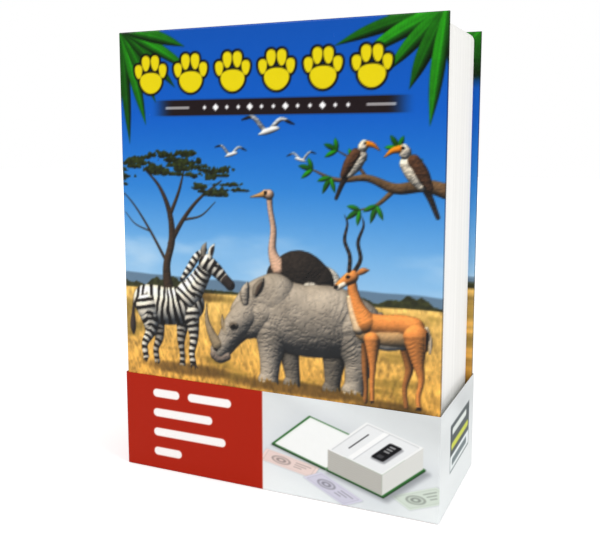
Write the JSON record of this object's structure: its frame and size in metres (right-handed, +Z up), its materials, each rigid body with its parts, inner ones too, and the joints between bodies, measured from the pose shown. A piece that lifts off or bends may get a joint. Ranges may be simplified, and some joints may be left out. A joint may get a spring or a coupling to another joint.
{
  "type": "book diversion safe",
  "caption": "Box disguised as a hardback picture book with a paper sleeve: cover opens on a moulded page block with a money slot and a combination-locked inner door.",
  "frame": {"origin": "middle of the footprint at the level of the covers' lower edges, the book standing upright", "axes": "+Z up along the spine, +Y from front cover to back cover, +X from spine to fore-edge"},
  "size_m": [0.1542, 0.0654, 0.205],
  "materials": {
    "cover_print": "printed, gloss laminated",
    "cover_board": "dense grey board",
    "endpaper": "uncoated white",
    "sleeve_print": "printed, semi-gloss",
    "sleeve_paper": "semi-gloss, pale grey",
    "page_block": "moulded with fine page lines",
    "white_plastic": "satin moulded",
    "lock_black": "satin moulded",
    "lock_case": "moulded",
    "wheel_black": "moulded, white numbers",
    "steel_sheet": "zinc plated sheet",
    "spring_steel": "bright spring strip",
    "screw_steel": "zinc plated",
    "sleeve_brass": "turned"
  },
  "bodies": {
    "book": {"back_cover_wrap": "cover_print", "back_cover_board": "cover_board", "back_endpaper": "endpaper", "spine_wrap": "cover_print", "spine_board": "cover_board", "sleeve_spine_panel": "sleeve_paper", "sleeve_back_panel": "sleeve_paper", "sleeve_fore_edge_panel": "sleeve_paper", "page_block_shell": "page_block", "door_frame": "white_plastic", "keeper_plate": "steel_sheet", "keeper_screw_1": "screw_steel", "keeper_screw_2": "screw_steel", "door_hinge_pin_lower": "screw_steel", "door_hinge_pin_upper": "screw_steel"},
    "front_cover": {"front_cover_wrap": "cover_print", "front_cover_board": "cover_board", "front_endpaper": "endpaper", "sleeve_front_panel": "sleeve_print"},
    "door": {"lock_door": "white_plastic", "lock_bezel": "lock_black", "lock_chassis": "lock_case", "detent_spring": "spring_steel", "lock_screw_1": "screw_steel", "lock_screw_2": "screw_steel", "lock_screw_3": "screw_steel"},
    "latch": {"release_slider": "lock_black", "latch_plate": "steel_sheet", "gate_shaft": "screw_steel"},
    "wheel_1": {"number_wheel_1": "wheel_black", "gate_sleeve_1": "sleeve_brass"},
    "wheel_2": {"number_wheel_2": "wheel_black", "gate_sleeve_2": "sleeve_brass"},
    "wheel_3": {"number_wheel_3": "wheel_black", "gate_sleeve_3": "sleeve_brass"}
  },
  "joints": [
    {"name": "cover_hinge", "type": "hinge", "parent": "book", "child": "front_cover", "pos_m": [-0.0765, -0.0322, 0.1025], "axis": [0, 0, -1], "range_deg": [0, 180]},
    {"name": "door_hinge", "type": "hinge", "parent": "book", "child": "door", "pos_m": [-0.006, -0.0204, 0.1025], "axis": [0, 0, -1], "range_deg": [0, 95]},
    {"name": "latch_slide", "type": "slide", "parent": "door", "child": "latch", "axis": [0, 0, 1], "range_m": [0, 0.008]},
    {"name": "wheel_1_spin", "type": "hinge", "parent": "door", "child": "wheel_1", "pos_m": [0.0297, -0.0177, 0.1065], "axis": [0, 0, 1], "continuous": true},
    {"name": "wheel_2_spin", "type": "hinge", "parent": "door", "child": "wheel_2", "pos_m": [0.0297, -0.0177, 0.1145], "axis": [0, 0, 1], "continuous": true},
    {"name": "wheel_3_spin", "type": "hinge", "parent": "door", "child": "wheel_3", "pos_m": [0.0297, -0.0177, 0.1225], "axis": [0, 0, 1], "continuous": true}
  ],
  "couplings": [
    {"joint": "door_hinge", "follows": "cover_hinge", "ratio": 0.5277}
  ]
}
